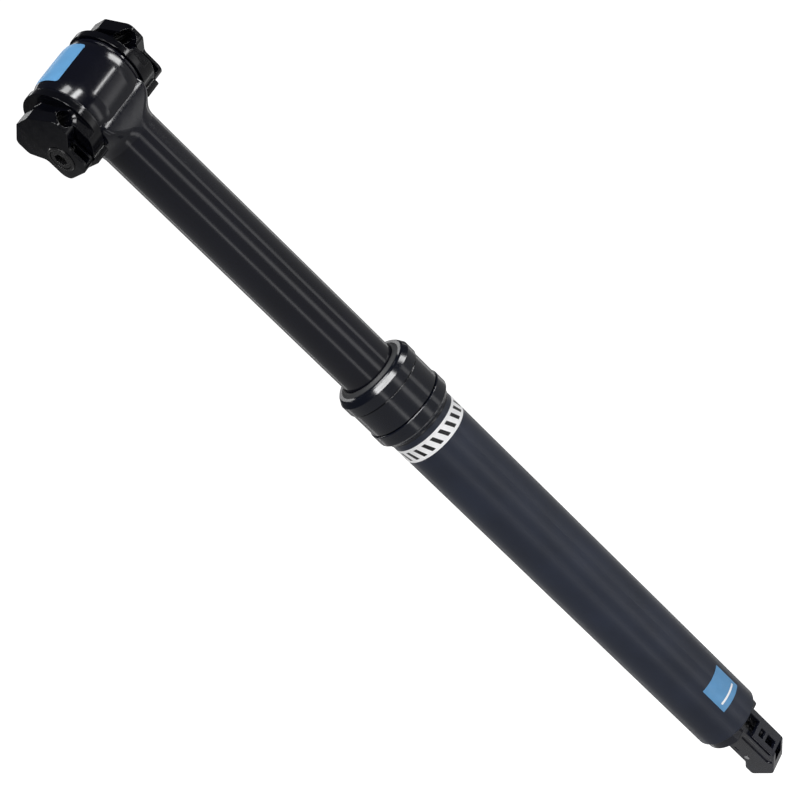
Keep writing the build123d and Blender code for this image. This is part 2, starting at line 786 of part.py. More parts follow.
with BuildPart() as barrel_screw:
    with BuildSketch(Plane.XY.offset(screw_bottom_z)):
        with Locations((stop_x, 0)):
            Circle(screw_r)
    extrude(amount=screw_length)
    with BuildSketch(Plane.XY.offset(screw_bottom_z + screw_length)):
        with Locations((stop_x, 0)):
            RegularPolygon(screw_r / 2, 6)
    extrude(amount=-screw_length / 2, mode=Mode.SUBTRACT)
save(barrel_screw.part, "barrel_screw")

# Release pin: a foot above the lever's nose and a long shaft up the hollow rod to the piston
foot_r = 2.7
foot_height = 1.6
pin_shaft_gap = 0.08
pin_top_gap = 3.6
foot_bottom_z = pivot_z + nose_rise + nose_r + soft_gap
foot_top_z = foot_bottom_z + foot_height
pin_shaft_r = rod_bore_r - pin_shaft_gap
pin_top_z = rod_top_z - pin_top_gap

with BuildPart() as release_pin:
    revolve(section([
        (0, foot_bottom_z),
        (foot_r, foot_bottom_z),
        (foot_r, foot_top_z),
        (pin_shaft_r, foot_top_z),
        (pin_shaft_r, pin_top_z),
        (0, pin_top_z),
    ]), axis=Axis.Z)
save(release_pin.part, "release_pin")

# Return spring, a compression spring between the foot and the roof of the channel
spring_wire_r = 0.25
spring_r = 2.25
spring_turns = 6
spring_samples = 240
spring_bottom_z = foot_top_z + spring_wire_r + 2 * seat_gap
spring_top_z = channel_roof_z - spring_wire_r - 2 * seat_gap
spring_pitch = (spring_top_z - spring_bottom_z) / spring_turns
quarter = math.pi / 2


def helix_point(angle):
    """A point of the spring's centre line."""
    return Vector(
        spring_r * math.cos(angle),
        spring_r * math.sin(angle),
        spring_bottom_z + spring_pitch * angle / (2 * math.pi),
    )


def helix_tangent(angle):
    """The direction of the spring's centre line."""
    rise = spring_pitch / (2 * math.pi)
    return Vector(-spring_r * math.sin(angle), spring_r * math.cos(angle), rise).normalized()


with BuildPart() as pin_spring:
    with BuildLine() as spring_path:
        for step in range(4 * spring_turns):
            start, end = helix_point(step * quarter), helix_point((step + 1) * quarter)
            start_way, end_way = helix_tangent(step * quarter), helix_tangent((step + 1) * quarter)
            across = end - start
            both = start_way + end_way
            bend = 2 * (1 - start_way.dot(end_way))
            reach = (math.sqrt(across.dot(both) ** 2 + bend * across.dot(across)) - across.dot(both)) / bend
            near_corner, far_corner = start + start_way * reach, end - end_way * reach
            middle = (near_corner + far_corner) / 2
            TangentArc(start, middle, tangent=start_way)
            TangentArc(middle, end, tangent=far_corner - near_corner)
    spring_line = spring_path.wires()[0]
    with BuildSketch(Plane(origin=helix_point(0), z_dir=helix_tangent(0))):
        Circle(spring_wire_r)
    sweep(path=spring_line)
save(pin_spring.part, "pin_spring")

# Least gap between turns, measured on points at least half a turn apart
spring_points = [spring_line.position_at(i / spring_samples) for i in range(spring_samples + 1)]
half_turn = spring_samples // (2 * spring_turns)
least_gap = min(
    (first - second).length - 2 * spring_wire_r
    for i, first in enumerate(spring_points)
    for second in spring_points[i + half_turn:]
)
print(f"pin spring: least gap to itself {least_gap:.2f} mm")

# Saddle clamp: two rails run along X at equal heights, each between an inner and an outer clamp
rail_r = 3.5
rail_spacing = 44.0
rail_rise = 4.1
bolt_drop = 7.4
bolt_r = 3.0
bolt_hole_r = 3.3
split_gap = 0.3
rail_y = rail_spacing / 2
rail_z = barrel_z + rail_rise
bolt_z = barrel_z - bolt_drop

# Inner clamp: a spigot in the barrel's bore, a round flange, a drum cut to a roof with half of the
# rail's groove, and a lip under it
drum_gap = 0.2
drum_r = 16.9
flange_thickness = 2.9
spigot_length = 6.7
roof_end_half = 15.0
roof_end_rise = 4.5
roof_shoulder_half = 9.5
roof_shoulder_rise = 7.5
roof_ridge_half = 2.9
roof_ridge_rise = 12.1
groove_flare = 1.0
lip_half = 8.0
lip_height = 3.6
lip_drop = 17.9
lip_corner_r = 1.0
clamp_face_y = barrel_half + drum_gap
flange_y = clamp_face_y + flange_thickness
spigot_y = clamp_face_y - spigot_length
spigot_r = barrel_bore_r - running_gap
inner_clamp_y = rail_y - split_gap
roof_outline = [
    (roof_end_half, barrel_z - drum_r - cut_overrun),
    (roof_end_half, barrel_z + roof_end_rise),
    (roof_shoulder_half, barrel_z + roof_shoulder_rise),
    (roof_ridge_half, barrel_z + roof_ridge_rise),
]
roof_outline += [(-x, z) for x, z in reversed(roof_outline)]
rail_axis = Axis((0, rail_y, rail_z), (1, 0, 0))
groove_outline = [
    (roof_end_half + cut_overrun, rail_y),
    (roof_end_half + cut_overrun, rail_y + rail_r + groove_flare),
    (roof_end_half, rail_y + rail_r + groove_flare),
    (roof_end_half - groove_flare, rail_y + rail_r),
]
groove_outline += [(-x, y) for x, y in reversed(groove_outline)]

with BuildPart() as inner_clamp_far:
    with BuildSketch(Plane.XZ.offset(-inner_clamp_y)):
        with BuildLine():
            Polyline(*roof_outline, close=True)
        make_face()
        with Locations((0, barrel_z)):
            Circle(drum_r, mode=Mode.INTERSECT)
    extrude(amount=inner_clamp_y - clamp_face_y)
    with BuildSketch(Plane.XZ.offset(-flange_y)):
        with Locations((0, barrel_z)):
            Circle(drum_r)
    extrude(amount=flange_thickness)
    with BuildSketch(Plane.XZ.offset(-inner_clamp_y)):
        with Locations((0, barrel_z - lip_drop + lip_height / 2)):
            RectangleRounded(2 * lip_half, lip_height, lip_corner_r)
    extrude(amount=inner_clamp_y - clamp_face_y)
    with BuildSketch(Plane.XZ.offset(-clamp_face_y)):
        with Locations((0, barrel_z)):
            Circle(spigot_r)
    extrude(amount=spigot_length)
    # Half of the rail's groove, widened at both ends
    with BuildSketch(Plane.XY.offset(rail_z)):
        with BuildLine():
            Polyline(*groove_outline, close=True)
        make_face()
    revolve(axis=rail_axis, mode=Mode.SUBTRACT)
    # Hole for the clamp bolt
    with BuildSketch(Plane.XZ.offset(-inner_clamp_y)):
        with Locations((0, bolt_z)):
            Circle(bolt_hole_r)
    extrude(amount=inner_clamp_y - spigot_y + cut_overrun, mode=Mode.SUBTRACT)
save(inner_clamp_far.part, "inner_clamp_far")

with BuildPart() as inner_clamp_near:
    mirror(inner_clamp_far.part, about=Plane.XZ)
save(inner_clamp_near.part, "inner_clamp_near")

# Outer plates: a crosswise wing over the rail with sloping shoulders, and a boss round the bolt,
# pierced from side to side by a window with sloping sills
plate_thickness_y = 5.2
wing_half = 15.5
wing_top_half = 4.2
wing_top_rise = 13.2
wing_shoulder_rise = 6.7
wing_foot_rise = 0.0
wing_end_thickness = 4.6
boss_half = 8.6
boss_top_drop = 5.3
boss_bottom_drop = 16.5
face_half = 4.8
wing_top_corner_r = 2.5
wing_shoulder_r = 3.4
wing_foot_r = 2.4
boss_top_r = 3.0
boss_bottom_r = 4.0
bolt_window_inner = 1.1
bolt_window_width = 2.6
bolt_window_drop = 4.7
bolt_window_height = 6.8
bolt_window_half = 4.5
bolt_sill_fall = 3.1
plate_inner_y = rail_y + split_gap
plate_outer_y = plate_inner_y + plate_thickness_y
wing_outer_y = plate_inner_y + wing_end_thickness
wing_top_z = barrel_z + wing_top_rise
boss_bottom_z = barrel_z - boss_bottom_drop
window_inner_y = plate_inner_y + bolt_window_inner
window_arch_z = barrel_z - bolt_window_drop
window_sill_z = window_arch_z - bolt_window_height
plate_outline = [
    (boss_half, boss_bottom_z),
    (boss_half, barrel_z - boss_top_drop),
    (wing_half, barrel_z + wing_foot_rise),
    (wing_half, barrel_z + wing_shoulder_rise),
    (wing_top_half, wing_top_z),
]
plate_outline += [(-x, z) for x, z in reversed(plate_outline)]
plate_corner_rs = (boss_bottom_r, boss_top_r, wing_foot_r, wing_shoulder_r, wing_top_corner_r)


def bolt_window():
    """The space of the far plate's window, arched at its top."""
    with BuildPart() as window:
        with BuildSketch(Plane.XZ.offset(-window_inner_y - bolt_window_width)):
            with BuildLine():
                Polyline(
                    (-boss_half - cut_overrun, window_sill_z - bolt_sill_fall),
                    (-boss_half, window_sill_z - bolt_sill_fall),
                    (-bolt_window_half, window_sill_z),
                    (bolt_window_half, window_sill_z),
                    (boss_half, window_sill_z - bolt_sill_fall),
                    (boss_half + cut_overrun, window_sill_z - bolt_sill_fall),
                    (boss_half + cut_overrun, window_arch_z),
                    (-boss_half - cut_overrun, window_arch_z),
                    close=True,
                )
            make_face()
        extrude(amount=bolt_window_width)
        arch_edges = window.faces().sort_by(Axis.Z)[-1].edges().filter_by(Axis.X)
        fillet(arch_edges, bolt_window_width / 2 - seat_gap)
    return window.part


def outer_plate_blank():
    """An outer plate on the far side, before its bolt seat is cut."""
    with BuildPart() as blank:
        with BuildSketch(Plane.XZ.offset(-plate_outer_y)) as blank_outline:
            with BuildLine():
                Polyline(*plate_outline, close=True)
            make_face()
            for (x, z), corner_r in zip(plate_outline, plate_corner_rs):
                fillet([corner(blank_outline, x, z), corner(blank_outline, -x, z)], corner_r)
        extrude(amount=plate_outer_y - plate_inner_y)
        # Sloping faces from the middle of the plate to the ends of its wings
        for side in (1, -1):
            with BuildSketch(Plane.XY.offset(boss_bottom_z)):
                with BuildLine():
                    Polyline(
                        (side * face_half, plate_outer_y),
                        (side * wing_half, wing_outer_y),
                        (side * (wing_half + cut_overrun), wing_outer_y),
                        (side * (wing_half + cut_overrun), plate_outer_y + cut_overrun),
                        (side * face_half, plate_outer_y + cut_overrun),
                        close=True,
                    )
                make_face()
            extrude(amount=wing_top_z - boss_bottom_z, mode=Mode.SUBTRACT)
        # Half of the rail's groove
        with BuildSketch(Plane.YZ):
            with Locations((rail_y, rail_z)):
                Circle(rail_r)
        extrude(amount=wing_half + cut_overrun, both=True, mode=Mode.SUBTRACT)
        # Hole for the clamp bolt and the window across it
        with BuildSketch(Plane.XZ.offset(-plate_outer_y)):
            with Locations((0, bolt_z)):
                Circle(bolt_hole_r)
        extrude(amount=plate_outer_y - plate_inner_y, mode=Mode.SUBTRACT)
        add(bolt_window(), mode=Mode.SUBTRACT)
    return blank.part


washer_r = 5.95
washer_height = 1.55
washer_floor = 0.55
washer_seat_depth = 1.0
nut_flats = 10.0
nut_height = 2.4
nut_seat_depth = 0.9

with BuildPart() as outer_plate_near:
    mirror(outer_plate_blank(), about=Plane.XZ)
    with BuildSketch(Plane.XZ.offset(plate_outer_y - washer_seat_depth)):
        with Locations((0, bolt_z)):
            Circle(washer_r + running_gap)
    extrude(amount=washer_seat_depth + cut_overrun, mode=Mode.SUBTRACT)
save(outer_plate_near.part, "outer_plate_near")

with BuildPart() as outer_plate_far:
    add(outer_plate_blank())
    with BuildSketch(Plane.XZ.offset(nut_seat_depth - plate_outer_y)):
        with Locations((0, bolt_z)):
            RegularPolygon(nut_flats / 2 + running_gap, 6, major_radius=False)
    extrude(amount=-nut_seat_depth - cut_overrun, mode=Mode.SUBTRACT)
save(outer_plate_far.part, "outer_plate_far")

# Clamp bolt, whose flat head lies in a cupped washer, and its nut on the far plate
bolt_head_r = 4.7
bolt_head_height = 0.85
bolt_socket_flats = 5.0
bolt_socket_depth = 3.0
washer_back_y = plate_outer_y - washer_seat_depth
washer_face_y = washer_back_y + washer_height
bolt_head_back_y = washer_back_y + washer_floor
bolt_head_y = bolt_head_back_y + bolt_head_height
bolt_end_y = plate_outer_y - nut_seat_depth + nut_height

with BuildPart() as clamp_bolt:
    with BuildSketch(Plane.XZ.offset(bolt_head_back_y)):
        with Locations((0, bolt_z)):
            Circle(bolt_head_r)
    extrude(amount=bolt_head_height)
    chamfer(clamp_bolt.faces().sort_by(Axis.Y)[0].edges(), bolt_head_height / 3)
    with BuildSketch(Plane.XZ.offset(-bolt_end_y)):
        with Locations((0, bolt_z)):
            Circle(bolt_r)
    extrude(amount=bolt_end_y + bolt_head_back_y)
    with BuildSketch(Plane.XZ.offset(bolt_head_y)):
        with Locations((0, bolt_z)):
            RegularPolygon(bolt_socket_flats / 2, 6, major_radius=False)
    extrude(amount=-bolt_socket_depth, mode=Mode.SUBTRACT)
save(clamp_bolt.part, "clamp_bolt")

with BuildPart() as bolt_washer:
    with BuildSketch(Plane.XZ.offset(washer_back_y)):
        with Locations((0, bolt_z)):
            Circle(washer_r)
            Circle(bolt_r + seat_gap, mode=Mode.SUBTRACT)
    extrude(amount=washer_height)
    chamfer(bolt_washer.faces().sort_by(Axis.Y)[0].edges().sort_by(SortBy.RADIUS)[-1], washer_floor / 2)
    with BuildSketch(Plane.XZ.offset(bolt_head_back_y)):
        with Locations((0, bolt_z)):
            Circle(bolt_head_r + running_gap)
    extrude(amount=washer_height, mode=Mode.SUBTRACT)
save(bolt_washer.part, "bolt_washer")

with BuildPart() as clamp_nut:
    with BuildSketch(Plane.XZ.offset(nut_seat_depth - plate_outer_y)):
        with Locations((0, bolt_z)):
            RegularPolygon(nut_flats / 2, 6, major_radius=False)
            Circle(bolt_r + running_gap, mode=Mode.SUBTRACT)
    extrude(amount=-nut_height)
save(clamp_nut.part, "clamp_nut")
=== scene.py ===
import json
import math
from collections import namedtuple

import bmesh
import bpy
from bpy.props import FloatProperty, FloatVectorProperty, IntProperty, PointerProperty
from mathutils import Matrix, Vector


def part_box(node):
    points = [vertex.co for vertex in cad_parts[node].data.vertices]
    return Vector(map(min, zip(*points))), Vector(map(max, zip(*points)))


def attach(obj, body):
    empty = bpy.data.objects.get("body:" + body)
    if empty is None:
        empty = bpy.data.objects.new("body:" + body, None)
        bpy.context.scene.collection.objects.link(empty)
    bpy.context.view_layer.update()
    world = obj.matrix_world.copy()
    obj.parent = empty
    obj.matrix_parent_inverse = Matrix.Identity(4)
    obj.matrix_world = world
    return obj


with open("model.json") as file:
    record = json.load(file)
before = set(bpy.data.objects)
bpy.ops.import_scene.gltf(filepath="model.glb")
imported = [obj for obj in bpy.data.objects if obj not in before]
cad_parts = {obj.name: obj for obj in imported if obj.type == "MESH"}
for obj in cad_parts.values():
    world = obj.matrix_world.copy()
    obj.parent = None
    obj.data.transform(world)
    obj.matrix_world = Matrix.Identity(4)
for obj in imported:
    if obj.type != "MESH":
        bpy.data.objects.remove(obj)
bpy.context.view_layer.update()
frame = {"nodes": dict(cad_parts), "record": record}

bl_info = {
    "name": "Dropper Seatpost Dresser",
    "version": (1, 1, 0),
    "blender": (4, 5, 0),
    "location": "View3D > Sidebar > Seatpost",
    "description": "Finishes, trim, thread and studio for a dropper seatpost",
    "category": "Object",
}

# Lengths are in metres, as in the frame
MM = 0.001
UP = Vector((0, 0, 1))
ACROSS = Vector((0, 1, 0))
FULL_TURN = 2 * math.pi

# Places read from the frame
tube_low, tube_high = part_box("outer_tube")
bolt_low, bolt_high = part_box("clamp_bolt")
near_plate_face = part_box("outer_plate_near")[0].y
housing_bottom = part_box("release_housing")[0].z
barrel_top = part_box("stanchion")[1].z
joints = {joint["name"]: joint for joint in frame["record"]["behaviour"]["joints"]}
barrel_centre = Vector(joints["saddle_tilt"]["pos_m"])
barrel_radius = barrel_top - barrel_centre.z
tube_radius = tube_high.y
bolt_centre = (bolt_low + bolt_high) / 2


# Settings


class SeatpostStageSettings(bpy.types.PropertyGroup):
    """The camera, the floor and the room."""

    azimuth: FloatProperty(
        name="Azimuth", description="Camera's angle round the post, 0 looking along +Y",
        default=math.radians(60.0), subtype="ANGLE")
    elevation: FloatProperty(
        name="Elevation", description="Camera's angle above the horizon",
        default=math.radians(21.8), subtype="ANGLE")
    lean: FloatProperty(
        name="Lean", description="Camera's turn about its own line of sight",
        default=math.radians(45.82), subtype="ANGLE")
    distance: FloatProperty(
        name="Distance", description="From the camera to the point it looks at",
        default=0.926, unit="LENGTH")
    target_height: FloatProperty(
        name="Target height", description="Height on the post's axis that the camera looks at",
        default=0.0111, unit="LENGTH")
    lens: FloatProperty(
        name="Lens", description="Focal length on a 36 mm sensor",
        default=101.7, unit="CAMERA")
    floor_drop: FloatProperty(
        name="Floor drop", description="Gap between the housing's lowest point and the floor",
        default=0.55, unit="LENGTH")
    floor_size: FloatProperty(
        name="Floor size", description="Side of the square floor",
        default=30.0, unit="LENGTH")
    floor_shine: FloatProperty(
        name="Floor shine", description="Brightness that the camera sees on top of the lit floor",
        default=0.62, min=0, max=1)
    floor_glow: FloatProperty(
        name="Floor glow", description="How bright the near floor is in reflections",
        default=0.36, min=0, max=1)
    room_glow: FloatProperty(
        name="Room glow", description="How bright the room and the far floor are in reflections",
        default=0.07, min=0, max=1)
    glow_reach: FloatProperty(
        name="Glow reach", description="How far out from the post the floor's glow starts to fade",
        default=4.3, unit="LENGTH")
    room_light: FloatProperty(
        name="Room light", description="How strongly the room lights plain surfaces",
        default=0.52, min=0, max=1)


class SeatpostFinishSettings(bpy.types.PropertyGroup):
    """Colours of the visible finishes."""

    tube_colour: FloatVectorProperty(
        name="Tube", description="Satin anodising of the lower tube",
        default=(0.0130, 0.0185, 0.0370), subtype="COLOR", size=3, min=0, max=1)
    stanchion_colour: FloatVectorProperty(
        name="Stanchion", description="Gloss anodising of the stanchion",
        default=(0.0022, 0.0027, 0.0075), subtype="COLOR", size=3, min=0, max=1)
    collar_colour: FloatVectorProperty(
        name="Collar", description="Semi-gloss anodising of the collar",
        default=(0.0026, 0.0040, 0.0095), subtype="COLOR", size=3, min=0, max=1)
    clamp_colour: FloatVectorProperty(
        name="Clamp", description="Gloss black of the clamp's pieces",
        default=(0.0016, 0.0018, 0.0036), subtype="COLOR", size=3, min=0, max=1)
    housing_colour: FloatVectorProperty(
        name="Housing", description="Satin black of the release housing",
        default=(0.0070, 0.0085, 0.0165), subtype="COLOR", size=3, min=0, max=1)
    label_colour: FloatVectorProperty(
        name="Label", description="Blue of the two plain labels",
        default=(0.108, 0.305, 0.560), subtype="COLOR", size=3, min=0, max=1)
    band_colour: FloatVectorProperty(
        name="Band", description="White of the band under the collar and of the label's rule",
        default=(0.92, 0.92, 0.93), subtype="COLOR", size=3, min=0, max=1)
    dash_colour: FloatVectorProperty(
        name="Dashes", description="Black of the band's dashes",
        default=(0.012, 0.012, 0.014), subtype="COLOR", size=3, min=0, max=1)


class SeatpostTrimSettings(bpy.types.PropertyGroup):
    """The band, the labels and the thread."""

    film: FloatProperty(
        name="Film", description="Thickness of a printed label",
        default=0.04 * MM, unit="LENGTH")
    band_drop: FloatProperty(
        name="Band drop", description="From the collar down to the band's top edge",
        default=2.8 * MM, unit="LENGTH")
    band_height: FloatProperty(
        name="Band height", description="Height of the white band",
        default=7.4 * MM, unit="LENGTH")
    dash_count: IntProperty(
        name="Dash count", description="Dashes round the band",
        default=22, min=1)
    label_side: FloatProperty(
        name="Label side", description="Width and height of the tube's label",
        default=15.0 * MM, unit="LENGTH")
    label_rise: FloatProperty(
        name="Label rise", description="From the tube's lower end to the label's lower edge",
        default=12.2 * MM, unit="LENGTH")
    patch_length: FloatProperty(
        name="Patch length", description="Length of the barrel's label along the barrel",
        default=20.2 * MM, unit="LENGTH")
    patch_angle: FloatProperty(
        name="Patch angle", description="How far the barrel's label reaches round the barrel",
        default=math.radians(71.0), subtype="ANGLE")
    patch_corner: FloatProperty(
        name="Patch corner", description="Radius of the barrel label's corners",
        default=1.6 * MM, unit="LENGTH")
    crown_start: FloatProperty(
        name="Crown start", description="From the barrel's middle to where its crown begins",
        default=7.0 * MM, unit="LENGTH")
    crown_bend: FloatProperty(
        name="Crown bend", description="Radius of the crown's curve towards the barrel's ends",
        default=14.5 * MM, unit="LENGTH")
    thread_pitch: FloatProperty(
        name="Thread pitch", description="From one crest of the bolt's thread to the next",
        default=1.0 * MM, unit="LENGTH")
    thread_depth: FloatProperty(
        name="Thread depth", description="How far the thread's crest stands off the shank",
        default=0.22 * MM, unit="LENGTH")
    thread_inset: FloatProperty(
        name="Thread inset", description="From the near plate's outer face to the thread's start",
        default=1.8 * MM, unit="LENGTH")
    shank_radius: FloatProperty(
        name="Shank radius", description="Radius of the clamp bolt's shank",
        default=3.0 * MM, unit="LENGTH")
    thread_steps: IntProperty(
        name="Thread steps", description="Steps in each turn of the thread",
        default=28, min=8, max=64)


def stage_settings():
    return bpy.context.scene.seatpost_stage


def finish_settings():
    return bpy.context.scene.seatpost_finish


def trim_settings():
    return bpy.context.scene.seatpost_trim


# Finishes


def feed(links, socket, value):
    """Link a socket to another one, or give it a plain value."""
    if isinstance(value, bpy.types.NodeSocket):
        links.new(value, socket)
    else:
        socket.default_value = value


class FinishMaker:
    """One material, with its pattern read from the object's own coordinates."""

    # The middle of a noise, where nearly all of its values lie
    NOISE_LOW, NOISE_HIGH = 0.3, 0.7
    BEVEL_SAMPLES = 6

    def __init__(self, name, colour, roughness, specular=0.5, metallic=0.0):
        self.material = bpy.data.materials.new(name)
        self.material.use_nodes = True
        self.material.diffuse_color = (*colour, 1)
        tree = self.material.node_tree
        self.nodes, self.links = tree.nodes, tree.links
        self.shader = self.nodes["Principled BSDF"]
        self.shader.inputs["Specular IOR Level"].default_value = specular
        self.shader.inputs["Metallic"].default_value = metallic
        self.shader.inputs["Base Color"].default_value = (*colour, 1)
        self.shader.inputs["Roughness"].default_value = roughness
        self.colour = colour
        self.roughness = roughness
        self.place = self.nodes.new("ShaderNodeTexCoord").outputs["Object"]
        self.normal = None

    def noise(self, per_mm, stretch=(1, 1, 1), detail=4.0):
        """Noise whose grain is a number of cells to the millimetre."""
        mapping = self.nodes.new("ShaderNodeMapping")
        mapping.inputs["Scale"].default_value = stretch
        self.links.new(self.place, mapping.inputs["Vector"])
        noise = self.nodes.new("ShaderNodeTexNoise")
        noise.inputs["Scale"].default_value = per_mm / MM
        noise.inputs["Detail"].default_value = detail
        self.links.new(mapping.outputs["Vector"], noise.inputs["Vector"])
        return noise.outputs["Fac"]

    def cells(self, per_mm):
        """Rounded cells, a number of them to the millimetre."""
        cells = self.nodes.new("ShaderNodeTexVoronoi")
        cells.inputs["Scale"].default_value = per_mm / MM
        self.links.new(self.place, cells.inputs["Vector"])
        return cells.outputs["Distance"]

    def spread(self, value, low, high):
        """A noise's middle stretched to a range."""
        reach = self.nodes.new("ShaderNodeMapRange")
        reach.inputs["From Min"].default_value = self.NOISE_LOW
        reach.inputs["From Max"].default_value = self.NOISE_HIGH
        reach.inputs["To Min"].default_value = low
        reach.inputs["To Max"].default_value = high
        self.links.new(value, reach.inputs["Value"])
        return reach.outputs["Result"]

    def tint(self, value, contrast):
        """Colour that drifts a little to either side of the finish's own."""
        mix = self.nodes.new("ShaderNodeMix")
        mix.data_type = "RGBA"
        dark = [part * (1 - contrast) for part in self.colour]
        light = [part * (1 + contrast) for part in self.colour]
        mix.inputs["A"].default_value = (*dark, 1)
        mix.inputs["B"].default_value = (*light, 1)
        self.links.new(self.spread(value, 0, 1), mix.inputs["Factor"])
        self.links.new(mix.outputs["Result"], self.shader.inputs["Base Color"])
        return mix.outputs["Result"]

    def vary_gloss(self, value, share):
        """Roughness that drifts by a share of its own value."""
        low, high = self.roughness * (1 - share), self.roughness * (1 + share)
        self.links.new(self.spread(value, low, high), self.shader.inputs["Roughness"])

    def soften_edges(self, radius):
        """Edges that catch the light as if they were rounded."""
        bevel = self.nodes.new("ShaderNodeBevel")
        bevel.samples = self.BEVEL_SAMPLES
        bevel.inputs["Radius"].default_value = radius
        self.normal = bevel.outputs["Normal"]
        self.links.new(self.normal, self.shader.inputs["Normal"])

    def emboss(self, value, depth, strength=0.5):
        """Fine relief, on top of any softened edges."""
        bump = self.nodes.new("ShaderNodeBump")
        bump.inputs["Strength"].default_value = strength
        bump.inputs["Distance"].default_value = depth
        self.links.new(value, bump.inputs["Height"])
        if self.normal is not None:
            self.links.new(self.normal, bump.inputs["Normal"])
        self.normal = bump.outputs["Normal"]
        self.links.new(self.normal, self.shader.inputs["Normal"])


def anodised(name, colour, roughness, specular, along, edge=0.0):
    """Dyed aluminium: faint drawing lines one way, and a slow drift of shade."""
    maker = FinishMaker(name, colour, roughness, specular)
    if edge:
        maker.soften_edges(edge)
    maker.tint(maker.noise(per_mm=0.05, detail=2.0), contrast=0.16)
    lines = maker.noise(per_mm=2.5, stretch=along, detail=3.0)
    maker.vary_gloss(lines, share=0.16)
    maker.emboss(lines, depth=0.004 * MM, strength=0.25)
    return maker.material


def cast(name, colour, roughness, specular, edge, grain=0.3):
    """Die-cast or forged metal under paint: a fine orange-peel skin."""
    maker = FinishMaker(name, colour, roughness, specular)
    maker.soften_edges(edge)
    maker.tint(maker.noise(per_mm=0.12, detail=3.0), contrast=0.22)
    maker.vary_gloss(maker.noise(per_mm=0.6), share=0.22)
    maker.emboss(maker.noise(per_mm=2.2, detail=2.0), depth=0.012 * MM, strength=grain)
    return maker.material


def turned(name, colour, roughness, along):
    """Bare metal with the rings that a lathe leaves."""
    maker = FinishMaker(name, colour, roughness, metallic=1.0)
    maker.tint(maker.noise(per_mm=0.15), contrast=0.08)
    rings = maker.noise(per_mm=6.0, stretch=along, detail=2.0)
    maker.vary_gloss(rings, share=0.3)
    maker.emboss(rings, depth=0.006 * MM, strength=0.35)
    return maker.material


def rubber(name, colour, roughness):
    """Matt rubber with a fine grain."""
    maker = FinishMaker(name, colour, roughness, specular=0.35)
    maker.soften_edges(radius=0.15 * MM)
    maker.tint(maker.noise(per_mm=0.4), contrast=0.12)
    maker.vary_gloss(maker.noise(per_mm=1.5), share=0.15)
    maker.emboss(maker.noise(per_mm=5.0), depth=0.01 * MM)
    return maker.material


def foam(name, colour):
    """Open cells, with painted shade darker in the hollow of each."""
    maker = FinishMaker(name, colour, roughness=0.95, specular=0.2)
    cells = maker.cells(per_mm=1.8)
    # Painted shade: each cell is darker towards its middle, where the relief is lowest
    maker.tint(cells, contrast=0.35)
    maker.emboss(cells, depth=0.15 * MM, strength=0.9)
    return maker.material


def moulded(name, colour, roughness):
    """Moulded polymer with a faint texture."""
    maker = FinishMaker(name, colour, roughness, specular=0.4)
    maker.tint(maker.noise(per_mm=0.3), contrast=0.1)
    maker.vary_gloss(maker.noise(per_mm=1.2), share=0.15)
    maker.emboss(maker.noise(per_mm=4.0), depth=0.006 * MM)
    return maker.material


def printed(name, colour):
    """Ink film of a label, a shade uneven where it was screened."""
    maker = FinishMaker(name, colour, roughness=0.35, specular=0.4)
    maker.tint(maker.noise(per_mm=0.2, detail=2.0), contrast=0.05)
    maker.vary_gloss(maker.noise(per_mm=2.0), share=0.2)
    maker.emboss(maker.noise(per_mm=6.0, detail=1.0), depth=0.003 * MM, strength=0.3)
    return maker.material


# A dash's height, its share of the step from one to the next, and its turn in radians
# for each metre of height
DASH_HEIGHT = 4.7 * MM
DASH_SHARE = 0.42
DASH_SLANT = 28.0


def dashed_band(name, colour, ink, trim):
    """White print with a row of plain slanted dashes along its middle."""
    maker = FinishMaker(name, colour, roughness=0.35, specular=0.4)
    nodes, links = maker.nodes, maker.links
    base = maker.tint(maker.noise(per_mm=0.3), contrast=0.04)
    parts = nodes.new("ShaderNodeSeparateXYZ")
    links.new(maker.place, parts.inputs["Vector"])

    def step(operation, *operands):
        node = nodes.new("ShaderNodeMath")
        node.operation = operation
        for socket, operand in zip(node.inputs, operands):
            feed(links, socket, operand)
        return node.outputs[0]

    turn = step("ARCTAN2", parts.outputs["Y"], parts.outputs["X"])
    slant = step("MULTIPLY_ADD", parts.outputs["Z"], DASH_SLANT, turn)
    wave = step("FRACT", step("MULTIPLY", slant, trim.dash_count / FULL_TURN))
    bar = step("LESS_THAN", wave, DASH_SHARE)
    middle = trim.band_drop + trim.band_height / 2
    height = step("DIVIDE", step("ADD", parts.outputs["Z"], middle), DASH_HEIGHT / 2)
    inside = step("LESS_THAN", step("ABSOLUTE", height), 1.0)
    mix = nodes.new("ShaderNodeMix")
    mix.data_type = "RGBA"
    links.new(step("MULTIPLY", bar, inside), mix.inputs["Factor"])
    links.new(base, mix.inputs["A"])
    mix.inputs["B"].default_value = (*ink, 1)
    links.new(mix.outputs["Result"], maker.shader.inputs["Base Color"])
    return maker.material


